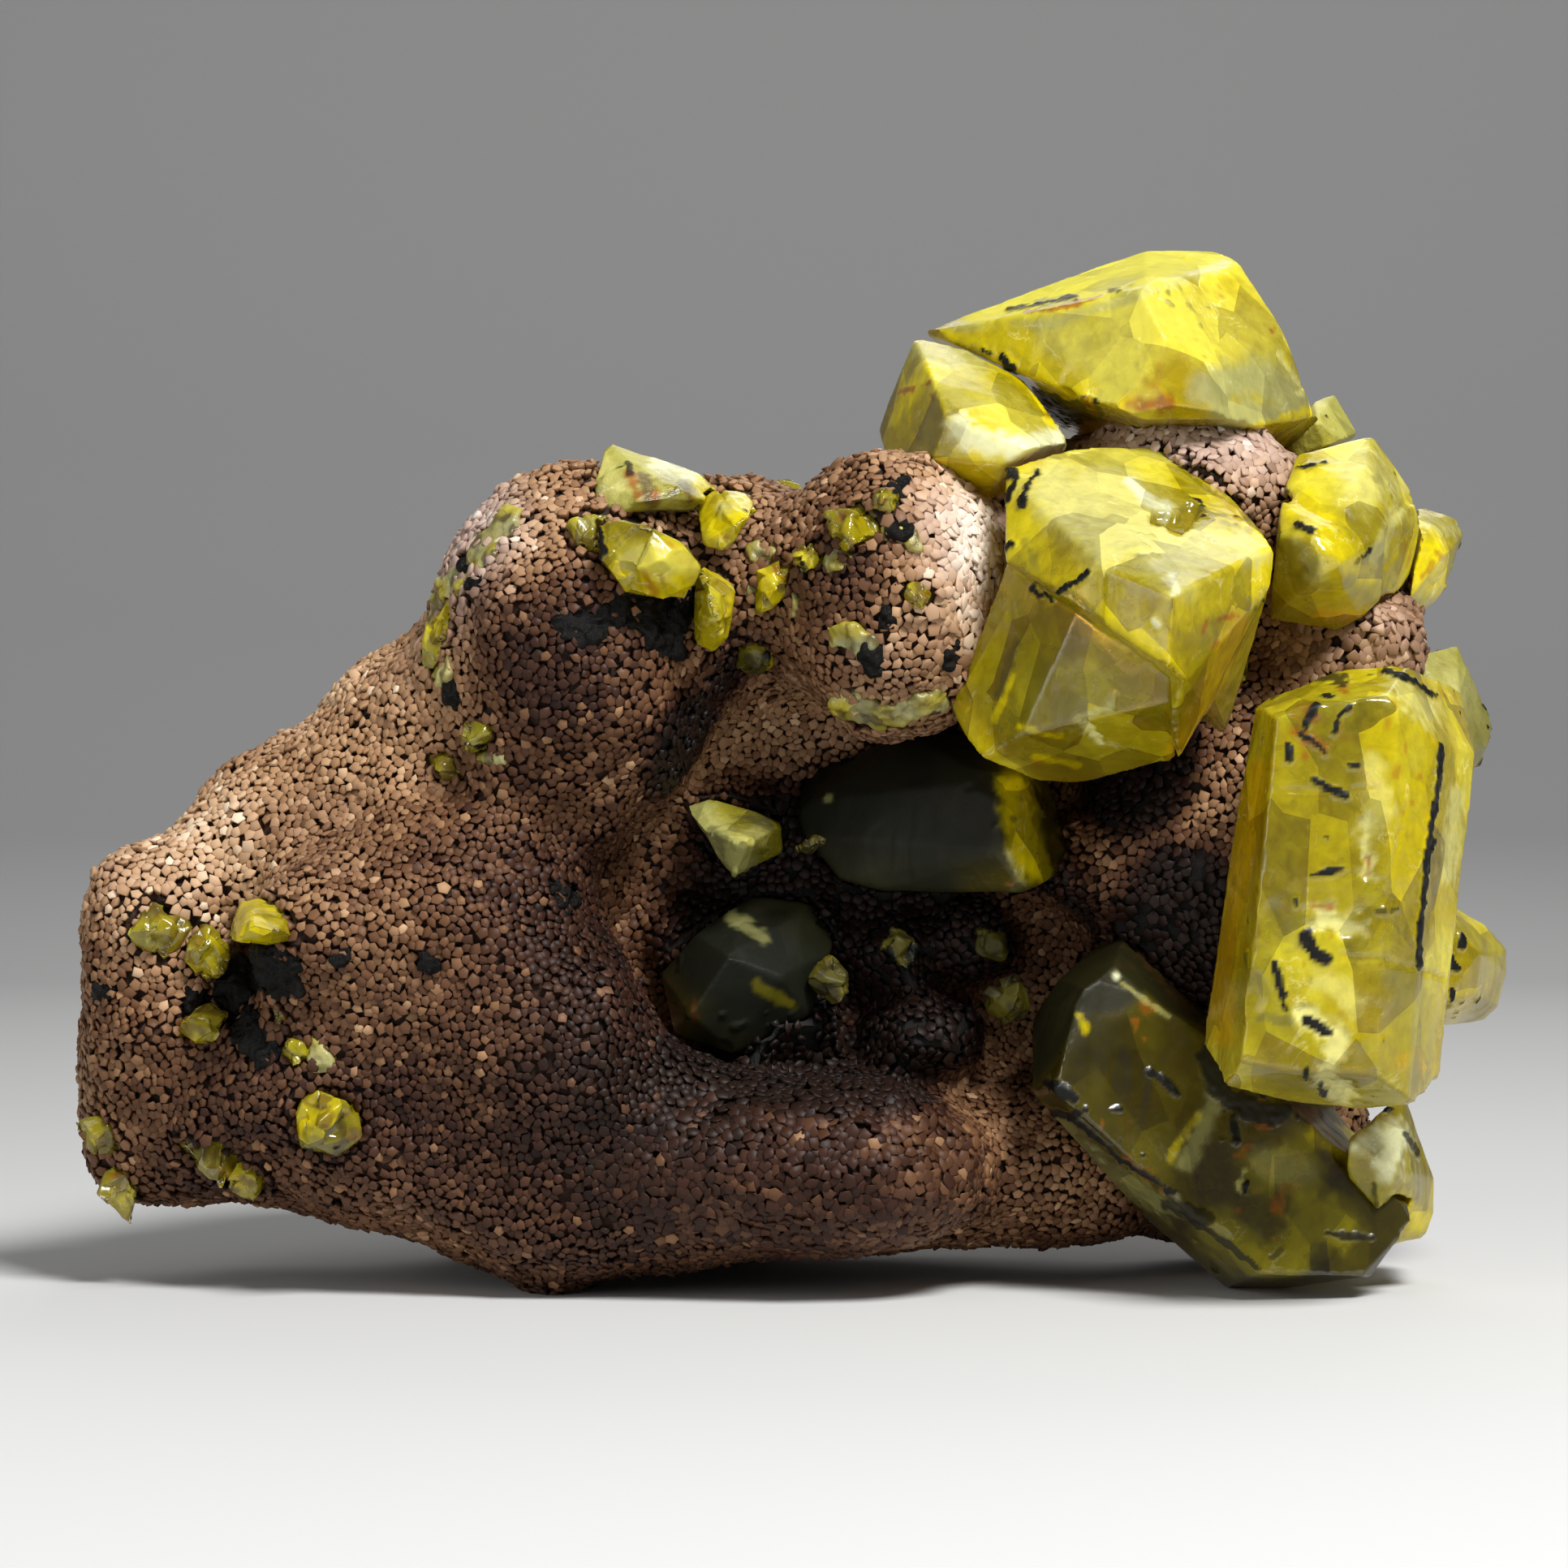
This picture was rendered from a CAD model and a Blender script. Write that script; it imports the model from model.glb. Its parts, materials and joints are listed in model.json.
# A natural specimen: yellow sulfur crystals on a lump of limestone coated with aragonite grains.
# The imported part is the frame. Each piece takes a CAD node's place and rides on its one body.
import json

import bmesh
import bpy
import numpy as np
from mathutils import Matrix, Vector
from mathutils.bvhtree import BVHTree


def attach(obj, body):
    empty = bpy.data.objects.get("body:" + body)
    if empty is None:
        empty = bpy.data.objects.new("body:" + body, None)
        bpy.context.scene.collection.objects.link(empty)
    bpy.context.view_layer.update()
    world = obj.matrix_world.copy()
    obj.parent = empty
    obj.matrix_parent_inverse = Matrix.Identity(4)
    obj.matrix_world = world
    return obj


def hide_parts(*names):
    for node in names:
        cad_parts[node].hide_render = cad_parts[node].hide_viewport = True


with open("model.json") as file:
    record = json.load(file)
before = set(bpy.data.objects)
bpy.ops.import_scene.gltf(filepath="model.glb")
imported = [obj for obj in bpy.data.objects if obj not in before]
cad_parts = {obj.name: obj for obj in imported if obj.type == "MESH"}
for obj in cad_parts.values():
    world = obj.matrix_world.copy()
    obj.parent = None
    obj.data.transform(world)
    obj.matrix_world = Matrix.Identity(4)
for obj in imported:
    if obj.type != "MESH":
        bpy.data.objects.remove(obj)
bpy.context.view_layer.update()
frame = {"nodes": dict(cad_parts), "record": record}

# ---- Limestone core ----
# The core is dark, iron-stained limestone. Its skin runs a grain's length under the coat, and
# comes to the surface at the rear, where the specimen was broken out of its cavity.

GRAIN = 0.00075            # height of the coat over the core
MM = 0.001


def merged_copy(node):
    """A CAD node's mesh with its loose triangles joined along their edges."""
    mesh = frame["nodes"][node].data.copy()
    shape = bmesh.new()
    shape.from_mesh(mesh)
    bmesh.ops.remove_doubles(shape, verts=shape.verts, dist=1e-6)
    shape.to_mesh(mesh)
    shape.free()
    mesh.materials.clear()
    return mesh


def shown(name, mesh, material, slot, *nodes):
    """Puts a finished mesh into the scene, riding on the part and standing for its CAD nodes."""
    piece = bpy.data.objects.new(name, mesh)
    bpy.context.scene.collection.objects.link(piece)
    mesh.materials.append(material)
    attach(piece, "root")
    if nodes:
        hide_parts(*nodes)
    return piece


def finished(mesh, *modifiers):
    """The mesh after its modifiers, each given as a kind and its settings."""
    helper = bpy.data.objects.new("helper", mesh)
    bpy.context.scene.collection.objects.link(helper)
    for kind, settings in modifiers:
        modifier = helper.modifiers.new(kind.lower(), kind)
        for key, value in settings.items():
            setattr(modifier, key, value)
    depsgraph = bpy.context.evaluated_depsgraph_get()
    done = bpy.data.meshes.new_from_object(helper.evaluated_get(depsgraph))
    bpy.data.objects.remove(helper)
    return done


def array_of(items, key, width, kind=np.float64):
    """One value of every vertex, face or triangle as an array of rows."""
    flat = np.empty(len(items) * width, kind)
    items.foreach_get(key, flat)
    return flat.reshape(-1, width)


def noise(points, width, seed):
    """Smooth noise from -1 to 1: random values at the corners of cubes of that width, and between
    them the mean of the eight corners, weighted by 3t^2 - 2t^3 along each axis."""
    where = points / width
    cell = np.floor(where).astype(np.int64)
    part = where - cell
    part = part * part * (3 - 2 * part)
    total = np.zeros(len(points))
    for corner in np.ndindex(2, 2, 2):
        x, y, z = (cell + corner).T
        mixed = (x * 73856093) ^ (y * 19349663) ^ (z * 83492791) ^ (seed * 2654435761)
        mixed = (mixed ^ (mixed >> 13)) * 1274126177
        value = ((mixed ^ (mixed >> 16)) & 65535) / 32767.5 - 1
        total += value * np.prod(np.where(corner, part, 1 - part), axis=1)
    return total


def ramp(values, low, high):
    """0 below low, 1 above high, and a smooth step 3t^2 - 2t^3 between them."""
    part = np.clip((values - low) / (high - low), 0, 1)
    return part * part * (3 - 2 * part)


crystal_nodes = [name for name in frame["nodes"] if name != "matrix"]
crystal_walls = bmesh.new()
for name in crystal_nodes:
    crystal_walls.from_mesh(frame["nodes"][name].data)
crystal_tree = BVHTree.FromBMesh(crystal_walls)
crystal_walls.free()


def room_to_crystals(points):
    """How far each point is from the nearest crystal."""
    return np.array([crystal_tree.find_nearest(point)[3] for point in points])


def spread_out(pairs, values, times):
    """Each vertex takes the mean of itself and its neighbours, again and again."""
    first, second = pairs.T
    count = 1 + (np.bincount(first, minlength=len(values))
                 + np.bincount(second, minlength=len(values)))
    for _ in range(times):
        values = (values + np.bincount(first, values[second], len(values))
                  + np.bincount(second, values[first], len(values))) / count
    return values


CORE_STEP = 0.78 * MM      # size of the core's quads
core = finished(merged_copy("matrix"),
                ("REMESH", {"mode": "VOXEL", "voxel_size": CORE_STEP}),
                ("SMOOTH", {"factor": 0.5, "iterations": 10}))
core_points = array_of(core.vertices, "co", 3)
core_normals = array_of(core.vertices, "normal", 3)
core_quads = array_of(core.polygons, "vertices", 4, np.int32)
skin_points, skin_normals = core_points, core_normals

# The broken rear lies behind rear_y and faces rear_slope or more to +Y. The feet are worn.
rear_y, rear_slope = 12 * MM, 0.6
broken = ramp(core_points[:, 1] + noise(core_points, 5 * MM, 3) * 2 * MM, rear_y, rear_y + 3 * MM)
core_edges = array_of(core.edges, "vertices", 2, np.int32)
faces_back = spread_out(core_edges, core_normals[:, 1], 110)
faces_back += 0.06 * noise(core_points, 3 * MM, 4)
broken *= ramp(faces_back, rear_slope - 0.03, rear_slope + 0.03)
worn = 1 - ramp(core_points[:, 2], 0.2 * MM, 0.8 * MM)
bare = np.maximum(broken, worn)

# Relief: lumps under the coat, and shallow dishes where chips came off the bare rear. Near a
# crystal the core keeps its place, and elsewhere it sinks by a grain's length.
lumps = noise(core_points, 6.0 * MM, 5) * 0.35 * MM + noise(core_points, 2.6 * MM, 6) * 0.22 * MM
dishes = np.abs(noise(core_points, 4.5 * MM, 8)) * 0.6 * MM
chipped = noise(core_points, 1.6 * MM, 7) * 0.16 * MM - dishes
lumps = np.where(bare > 0.5, chipped, lumps)
near_crystal = ramp(room_to_crystals(core_points), 0.3 * MM, 1.4 * MM)
sink = lumps * near_crystal * (1 - worn) - GRAIN * near_crystal * (1 - bare)
core_points = core_points + core_normals * sink[:, None]
core.vertices.foreach_set("co", core_points.ravel())
core.update()
coat = core.attributes.new("bare", "FLOAT", "POINT")
coat.data.foreach_set("value", bare)

# Middle and reach of the hollow's parts in mm
hollow_at = [
    ((3, -4, 35), (22, 22, 18)), ((-9, -12, 34), (11, 13, 11)), ((20, -8, 28), (15, 16, 16)),
    ((2, -12, 46), (18, 10, 6)), ((-5, -13, 53), (6, 10, 8)), ((2, -10, 22), (20, 18, 11)),
    ((30, -6, 48), (9, 12, 12)), ((34, -8, 32), (9, 14, 14)), ((26, -10, 29), (9, 12, 8)),
    ((-10, -12, 49), (7, 11, 8)),
]


def blob(points, at, reach):
    """1 at a place and 0 at its reach and beyond, smooth between: places and reaches in mm."""
    away = np.linalg.norm((points / MM - at) / reach, axis=1)
    return 1 - ramp(away, 0.0, 1.0)


def in_hollow(points):
    """1 deep in the sooty hollow, 0 outside."""
    return ramp(np.max([blob(points, at, reach) for at, reach in hollow_at], axis=0), 0.0, 0.62)


sooty = core.attributes.new("sooty", "FLOAT", "POINT")
sooty.data.foreach_set("value", in_hollow(core_points))


class Wire:
    """An output in a material's node tree. Its sums, differences and products add Math nodes."""

    def __init__(self, tree, socket):
        self.tree, self.socket = tree, socket

    def node(self, kind, settings=None, sockets=None, output=0):
        """Any node: its settings are set first, then the values or links of its sockets."""
        made = self.tree.nodes.new("ShaderNode" + kind)
        for key, value in (settings or {}).items():
            if key == "stops":
                ramp_of = made.color_ramp
                while len(ramp_of.elements) < len(value):
                    ramp_of.elements.new(0.5)
                for element, (at, colour) in zip(ramp_of.elements, value):
                    element.position, element.color = at, (*colour, 1)
            else:
                setattr(made, key, value)
        for key, value in (sockets or {}).items():
            if isinstance(value, Wire):
                self.tree.links.new(value.socket, made.inputs[key])
            elif value is not None:
                given = made.inputs[key]
                if isinstance(value, tuple) and len(value) < len(given.default_value):
                    value = (*value, 1)
                given.default_value = value
        return Wire(self.tree, made.outputs[output])

    def math(self, operation, first, second=0.0):
        return self.node("Math", {"operation": operation}, {0: first, 1: second})

    def __add__(self, other):
        return self.math("ADD", self, other)

    def __sub__(self, other):
        return self.math("SUBTRACT", self, other)

    def __rsub__(self, other):
        return self.math("SUBTRACT", other, self)

    def __mul__(self, other):
        return self.math("MULTIPLY", self, other)

    __radd__, __rmul__ = __add__, __mul__

    def rise(self, low, high):
        """0 below low, 1 above high, smooth between."""
        return self.node("MapRange", {"interpolation_type": "SMOOTHSTEP"},
                         {"Value": self, "From Min": low, "From Max": high})

    def blend(self, first, second):
        """From the first colour at 0 to the second at 1."""
        return self.node("Mix", {"data_type": "RGBA"}, {0: self, 6: first, 7: second}, output=2)

    def cloud(self, width, detail=4.0, rough=0.55, warp=0.0, stretch=None):
        """Noise of that width in metres, about 0.25 to 0.75, on the piece's own coordinates."""
        across = self
        if stretch:
            across = self.node("Mapping", None, {"Vector": self, "Scale": stretch})
        return self.node("TexNoise", None, {"Vector": across, "Scale": 1 / width, "Detail": detail,
                                            "Roughness": rough, "Distortion": warp})


def new_material(name):
    """An empty material, its object coordinates and a function that sets its surface."""
    material = bpy.data.materials.new(name)
    material.use_nodes = True
    tree = material.node_tree
    tree.nodes.clear()
    place = Wire(tree, tree.nodes.new("ShaderNodeTexCoord").outputs["Object"])
    output = tree.nodes.new("ShaderNodeOutputMaterial")

    def use(surface, volume=None):
        tree.links.new(surface.socket, output.inputs["Surface"])
        if volume:
            tree.links.new(volume.socket, output.inputs["Volume"])
        return material

    return place, use


def limestone():
    """Fresh breaks are buff grey with rusty clouds and fine grit; between the grains it is dark."""
    place, use = new_material("limestone")
    bare_here = place.node("Attribute", {"attribute_name": "bare"}, output="Fac")
    rust = place.cloud(0.011, 6, 0.65).rise(0.42, 0.66)
    grit = place.cloud(0.0011, 5, 0.6)
    fresh = rust.blend((0.33, 0.28, 0.22), (0.24, 0.13, 0.065))
    fresh = grit.rise(0.4, 0.68).blend(fresh, (0.15, 0.1, 0.07))
    deep = place.cloud(0.004, 4).rise(0.35, 0.7).blend((0.020, 0.009, 0.005), (0.060, 0.024, 0.011))
    soot = place.node("Attribute", {"attribute_name": "sooty"}, output=2)
    deep = soot.blend(deep, (0.006, 0.005, 0.004))
    height = place.cloud(0.0026, 8, 0.7)
    bump = place.node("Bump", None, {"Strength": 0.8, "Distance": 0.0006,
                                     "Height": height + grit * 0.4})
    return use(place.node("BsdfPrincipled", None, {
        "Base Color": bare_here.blend(deep, fresh), "Roughness": 0.85, "Normal": bump}))


shown("core", core, limestone(), "matrix", "matrix")

# ---- Coat of aragonite grains ----
# Aragonite grew over the core as blunt prisms set side by side, like cobbles about a millimetre
# across. They are tan where light, pinkish or grey with the place, and rusty dark between.

SPACING = 0.56 * MM                    # no two grains stand nearer than this
TRIED = 13.0e6                         # places tried for a grain on a square metre
LOWEST = 0.55 * MM                     # the worn feet have no grains below this
CRYSTAL_GAP = 0.15 * MM                # how far the grains stop short of a crystal
MOST_GRAINS = 11000                    # in one mesh
rng = np.random.default_rng(11)

camera_at = np.array([-1.579, -397.62, 45.7]) * MM
picture_depth = 400.0 * MM             # the front view's mm are measured this far from the camera


def front_view(points):
    """Where each point is seen from the front, across and up in mm."""
    away = points - camera_at
    flat = away[:, [0, 2]] / away[:, 1:2] * picture_depth
    return (flat + camera_at[[0, 2]]) / MM


def from_path(at, path):
    """How far each place of the front view is from a line through the path's points."""
    path = np.array(path, float)
    if len(path) == 1:
        return np.linalg.norm(at - path[0], axis=1)
    first, step = path[:-1], np.diff(path, axis=0)
    share = np.einsum("pij,ij->pi", at[:, None] - first, step) / (step ** 2).sum(1)
    close = first + np.clip(share, 0, 1)[..., None] * step
    return np.linalg.norm(at[:, None] - close, axis=2).min(1)


# Half-width and path, in the front view's mm, of the bitumen and of the thin sulfur crusts on it
tar_paths = [
    (0.95, [(-21.3, 60.8), (-18.3, 60.6), (-19.9, 59.4)]),
    (0.95, [(-14.6, 60.8), (-12.4, 60.0), (-11.1, 61.6), (-8.9, 62.2)]),
    (0.40, [(-13.5, 59.0), (-11.3, 58.2)]),
    (1.02, [(-16.4, 62.2), (-12.4, 62.0)]),
    (0.59, [(-32.2, 54.7), (-32.0, 53.8)]),
    (0.48, [(-30.8, 65.4), (-30.4, 64.4)]),
    (0.57, [(8.4, 70.5), (9.6, 73.1)]),
    (0.40, [(8.4, 69.4), (9.6, 69.3)]),
    (0.50, [(8.1, 61.1)]),
    (1.07, [(6.8, 57.3)]),
    (0.95, [(14.1, 57.3)]),
    (0.51, [(9.3, 63.6)]),
    (1.5, [(-53.4, 29.7), (-49.3, 30.0), (-48.2, 27.4)]),
    (1.5, [(-56.0, 25.5), (-51.5, 23.7), (-49.3, 21.4)]),
    (0.67, [(-64.4, 26.3)]),
    (0.6, [(-22.3, 36.4), (-21.5, 34.9)]),
    (0.67, [(-35.0, 29.3)]),
    (0.6, [(-42.5, 29.7)]),
]
crust_paths = [
    (0.7, [(-29.0, 67.3), (-31.4, 65.4), (-32.8, 63.3), (-33.7, 61.2), (-33.9, 58.5),
           (-33.3, 55.5)]),
    (0.64, [(-26.9, 70.5), (-29.0, 68.1)]),
    (0.76, [(-3.9, 66.8), (-0.8, 65.5)]),
    (0.88, [(1.4, 66.4), (3.3, 66.8)]),
    (1.26, [(5.5, 70.2), (6.5, 69.3)]),
    (0.79, [(10.3, 68.7)]),
    (0.79, [(-4.6, 63.6), (-1.4, 62.3)]),
    (0.43, [(-30.6, 51.5), (-29.6, 48.3), (-28.0, 48.0)]),
    (0.69, [(3.6, 59.2), (5.5, 58.6)]),
    (0.9, [(-45.9, 21.4), (-44.0, 19.9)]),
    (0.75, [(4.0, 52.6), (8.5, 51.9), (12.5, 53.2)]),
]


def on_paths(points, normals, paths):
    """1 inside the ragged patches drawn by the paths on what faces the front, 0 outside."""
    seen = front_view(points)
    fray = noise(points, 1.3 * MM, 61) * 0.4 + noise(points, 0.6 * MM, 62) * 0.2
    inside = np.max([1 - ramp(from_path(seen, path) + fray - width, -0.1, 0.1)
                     for width, path in paths], axis=0)
    in_front = points[:, 1] + noise(points, 3 * MM, 63) * 2 * MM < -8 * MM
    return inside * (normals[:, 1] < 0.2) * in_front


def scattered(mesh, density, values):
    """Points spread at random over a mesh's triangles by their area, with the skin's normals and
    the value there."""
    mesh.calc_loop_triangles()
    corners = array_of(mesh.loop_triangles, "vertices", 3, np.int32)
    points, normals = array_of(mesh.vertices, "co", 3), array_of(mesh.vertices, "normal", 3)
    a, b, c = points[corners].transpose(1, 0, 2)
    area = np.linalg.norm(np.cross(b - a, c - a), axis=1) / 2
    chosen = rng.choice(len(area), int(area.sum() * density), p=area / area.sum())
    share = rng.random((len(chosen), 2))
    share = np.where(share.sum(1, keepdims=True) > 1, 1 - share, share)
    share = np.column_stack([1 - share.sum(1), share])
    at = np.einsum("ij,ijk->ik", share, points[corners[chosen]])
    facing = np.einsum("ij,ijk->ik", share, normals[corners[chosen]])
    value = np.einsum("ij,ij->i", share, values[corners[chosen]])
    return at, facing / np.linalg.norm(facing, axis=1, keepdims=True), value


def nearest(points, count, reach):
    """The count nearest other points of each one and how far they are, looked for in the 27 cubes
    of side reach around it. Where there are fewer, the distance is infinite."""
    cell = np.floor(points / reach).astype(np.int64)

    def number(cells):
        return (cells[..., 0] * 8192 + cells[..., 1]) * 8192 + cells[..., 2]

    order = np.argsort(number(cell))
    ordered = number(cell)[order]
    steps = np.array(list(np.ndindex(3, 3, 3))) - 1
    found, gaps = [], []
    for part in np.array_split(np.arange(len(points)), max(1, len(points) // 12000)):
        around = number(cell[part][:, None] + steps)
        start, stop = np.searchsorted(ordered, around), np.searchsorted(ordered, around, "right")
        slots = start[..., None] + np.arange((stop - start).max())
        outside = (slots >= stop[..., None]).reshape(len(part), -1)
        other = order[np.minimum(slots, len(order) - 1)].reshape(len(part), -1)
        gap = np.linalg.norm(points[other] - points[part][:, None], axis=2)
        gap[outside | (other == part[:, None])] = np.inf
        pick = np.argpartition(gap, count, axis=1)[:, :count]
        found.append(np.take_along_axis(other, pick, 1))
        gaps.append(np.take_along_axis(gap, pick, 1))
    return np.concatenate(found), np.concatenate(gaps)


def kept_apart(points, reach):
    """Thins the points until none is nearer than reach to another: again and again each point with
    the highest number among its neighbours stays, and its neighbours go."""
    other, gap = nearest(points, 20, reach)
    close = gap < reach
    rank = rng.random(len(points))
    alive, kept = np.ones(len(points), bool), np.zeros(len(points), bool)
    for _ in range(14):
        best = np.where(alive, rank, -1)
        winner = alive & (best > np.where(close, best[other], -1).max(1))
        kept |= winner
        alive &= ~winner & ~(winner[other] & close).any(1)
    return kept


points, normals, on_break = scattered(core, TRIED, broken)
keep = (on_break < 0.5) & (points[:, 2] > LOWEST)
keep &= on_paths(points, normals, tar_paths + crust_paths) < 0.5
points, normals = points[keep], normals[keep]
keep = kept_apart(points, SPACING)
points, normals = points[keep], normals[keep]
room = np.minimum(room_to_crystals(points),
                  room_to_crystals(points + normals * GRAIN) + 0.2 * MM)
points, normals = points[room > CRYSTAL_GAP], normals[room > CRYSTAL_GAP]

# A few grains are missing, more of them in the hollow and in small pits
hollow = in_hollow(points)
pitted = noise(points, 1.6 * MM, 71) + 0.6 * noise(points, 0.8 * MM, 72) > 1.0
keep = (rng.random(len(points)) > 0.08 + 0.25 * hollow) & ~pitted
points, normals, hollow = points[keep], normals[keep], hollow[keep]

# How light each grain is, how far its hue goes from tan over pinkish grey to cream yellow, and
# how far it has grown together with its neighbours. A zone is a strength, a middle and a reach in
# mm, and zones_sum adds them up.
light_zones = [
    (0.31, (-56, -8, 40), (18, 22, 16)), (0.27, (-41, -5, 56), (24, 22, 15)),
    (0.26, (-28, -10, 68), (10, 30, 13)), (-0.15, (-18, -25, 54), (12, 14, 12)),
    (0.14, (-14, -10, 74), (14, 24, 8)), (0.34, (14, -15, 68), (12, 20, 16)),
    (0.28, (36, -6, 78), (20, 20, 12)), (0.14, (50, -8, 60), (12, 14, 9)),
    (0.16, (33, -10, 43), (9, 12, 10)), (-0.28, (-48, -12, 16), (22, 22, 17)),
    (-0.32, (-2, -20, 12), (34, 26, 18)), (0.16, (-26, -22, 66), (10, 14, 6)),
    (0.14, (-7, -14, 71), (7, 12, 6)), (0.18, (-38, -14, 61), (6, 14, 8)),
    (-0.26, (4, -22, 65), (9, 12, 9)), (-0.18, (-30, -14, 15), (15, 20, 13)),
    (-0.16, (-12, -18, 18), (12, 20, 9)), (-0.32, (-21, -16, 28), (22, 24, 32)),
    (-0.24, (-22, -22, 56), (14, 16, 13)), (-0.10, (36, -5, 55), (14, 20, 12)),
]
grey_zones = [
    (0.5, (-29, -12, 66), (9, 26, 13)), (0.25, (-8, -20, 24), (26, 26, 16)),
    (0.40, (16, -18, 68), (10, 20, 14)), (0.45, (36, -6, 78), (22, 20, 12)),
    (0.25, (50, -8, 60), (14, 16, 12)),
]
cream_zones = [(1.0, (7.5, -22, 51.5), (8, 8, 3.2)), (1.0, (16, -18, 64), (5, 12, 13))]
fused_zones = [
    (1.0, (36, -6, 78), (20, 20, 12)), (1.0, (15, -16, 66), (9, 22, 15)),
    (1.0, (4, -22, 12), (32, 18, 16)), (1.0, (50, -8, 60), (11, 14, 9)),
]


def zones_sum(zones):
    """The sum of the zones' blobs at each grain, each times its strength."""
    return sum(strength * blob(points, at, reach) for strength, at, reach in zones)


x, _, z = (points / MM).T
light = 0.50 + 0.09 * noise(points, 9 * MM, 21) + 0.06 * noise(points, 3 * MM, 22)
light += zones_sum(light_zones) - 0.12 * ramp(-z, -16, -2) - 0.70 * hollow
light += 0.12 * ramp(zones_sum(cream_zones), 0.0, 0.6)
grey = 0.10 + 0.10 * noise(points, 7 * MM, 31) + zones_sum(grey_zones) + 0.15 * hollow
grey = np.clip(grey, 0.03, 0.60)
light += rng.normal(0, 0.05, len(points)) + 0.21 * (rng.random(len(points)) < 0.03)
grey += rng.normal(0, 0.03, len(points))
fused = ramp(zones_sum(fused_zones) + 0.25 * noise(points, 4 * MM, 32), 0.05, 0.45)

# The footprint of a grain reaches half-way to its eight nearest neighbours, and a little over
SIDES = 5
other, gap = nearest(points, 8, 1.4 * MM)
across = points[other[np.arange(len(points)), gap.argmin(1)]] - points
across -= np.einsum("ij,ij->i", across, normals)[:, None] * normals
across /= np.linalg.norm(across, axis=1, keepdims=True)
sideways = np.cross(across, normals)
towards = points[other] - points[:, None]
to_side = np.einsum("ijk,ik->ij", towards, sideways)
to_across = np.einsum("ijk,ik->ij", towards, across)
angle = (np.arange(SIDES) + 0.5) * 2 * np.pi / SIDES + np.pi / 2
along = to_side[..., None] * np.cos(angle) + to_across[..., None] * np.sin(angle)
half_way = (to_side ** 2 + to_across ** 2)[..., None] / 2
ahead = (along > 1e-6) & np.isfinite(gap)[..., None]
radius = np.where(ahead, half_way / np.maximum(along, 1e-6), 1.0)
wider = rng.uniform(1.06, 1.24, (len(points), 1)) + rng.uniform(-0.06, 0.10, radius.shape[::2])
wider += 0.3 * fused[:, None]
radius = np.clip(radius.min(1), 0.22 * MM, 0.64 * MM) * wider

lean = rng.normal(0, 0.20, (len(points), 2))
tall = GRAIN * (0.92 + 0.16 * noise(points, 2 * MM, 41) + rng.normal(0, 0.12, len(points)))

# Each ring's height and width as shares of the grain's height and of its footprint
ring_height = {"foot": -0.9, "shoulder": 0.88, "top": 1.0}
ring_width = {"foot": 0.0, "shoulder": 1.0, "top": 0.84}


def grain_ring(name, sides):
    """A ring of a grain's corners: its middle goes up the normal by a share of the grain's height,
    its corners go out by a share of the cell's radius, and the lean tips it with its width."""
    up = ring_height[name] * tall
    out_side = radius[:, :sides] * ring_width[name] * np.cos(angle[:sides])
    out_across = radius[:, :sides] * ring_width[name] * np.sin(angle[:sides])
    tip = out_side * lean[:, :1] + out_across * lean[:, 1:]
    if ring_height[name] < 0:
        tip = tip * 0
    centre = points + normals * up[:, None]
    return (centre[:, None] + out_side[..., None] * sideways[:, None]
            + out_across[..., None] * across[:, None] + tip[..., None] * normals[:, None])


corners = np.concatenate([grain_ring("foot", 1), grain_ring("shoulder", SIDES),
                          grain_ring("top", SIDES)], axis=1)
corners[..., 2] = np.maximum(corners[..., 2], 0)
here, after = np.arange(SIDES), (np.arange(SIDES) + 1) % SIDES
shoulder, top = 1, 1 + SIDES
fan = np.arange(1, SIDES - 1)
faces = np.concatenate([               # walls below the shoulder, bevel above it, flat top
    np.column_stack([0 * here, shoulder + after, shoulder + here]),
    np.column_stack([shoulder + here, shoulder + after, top + after]),
    np.column_stack([shoulder + here, top + after, top + here]),
    np.column_stack([0 * fan + top, top + fan, top + fan + 1]),
])

# Where a grain's corners lie on its map: round the grain's own tone and hue
turn = 0.012 * np.stack([np.cos(angle), np.sin(angle)], axis=1)
ring_turn = np.concatenate([[[0, 0]], turn, turn * 0.7])
ring_tone = np.concatenate([[[-0.40, 0]], np.tile([-0.10, 0], (SIDES, 1)), np.zeros((SIDES, 2))])


def grain_mesh(name, chosen):
    """The chosen grains as one mesh. Their map holds tone along u and hue along v, so that the
    grains' own colour lies on it: the foot is darker than the tip."""
    count = len(chosen)
    triangles = (faces[None] + (np.arange(count) * corners.shape[1])[:, None, None]).reshape(-1, 3)
    mesh = bpy.data.meshes.new(name)
    mesh.vertices.add(count * corners.shape[1])
    mesh.vertices.foreach_set("co", corners[chosen].ravel())
    mesh.loops.add(triangles.size)
    mesh.loops.foreach_set("vertex_index", triangles.ravel())
    mesh.polygons.add(len(triangles))
    mesh.polygons.foreach_set("loop_start", np.arange(0, triangles.size, 3))
    tone = np.stack([np.clip(light[chosen], 0.06, 0.96), np.clip(grey[chosen], 0.03, 0.97)], axis=1)
    shade = ring_tone[None] * np.array([1.0, 0.0]) * (1 - 0.8 * fused[chosen])[:, None, None]
    on_map = np.clip(tone[:, None] + shade + ring_turn, 0.002, 0.998).reshape(-1, 2)
    mesh.uv_layers.new(name="OFBake").data.foreach_set("uv", on_map[triangles.ravel()].ravel())
    mesh.update(calc_edges=True)
    mesh.validate()
    return mesh


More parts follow.
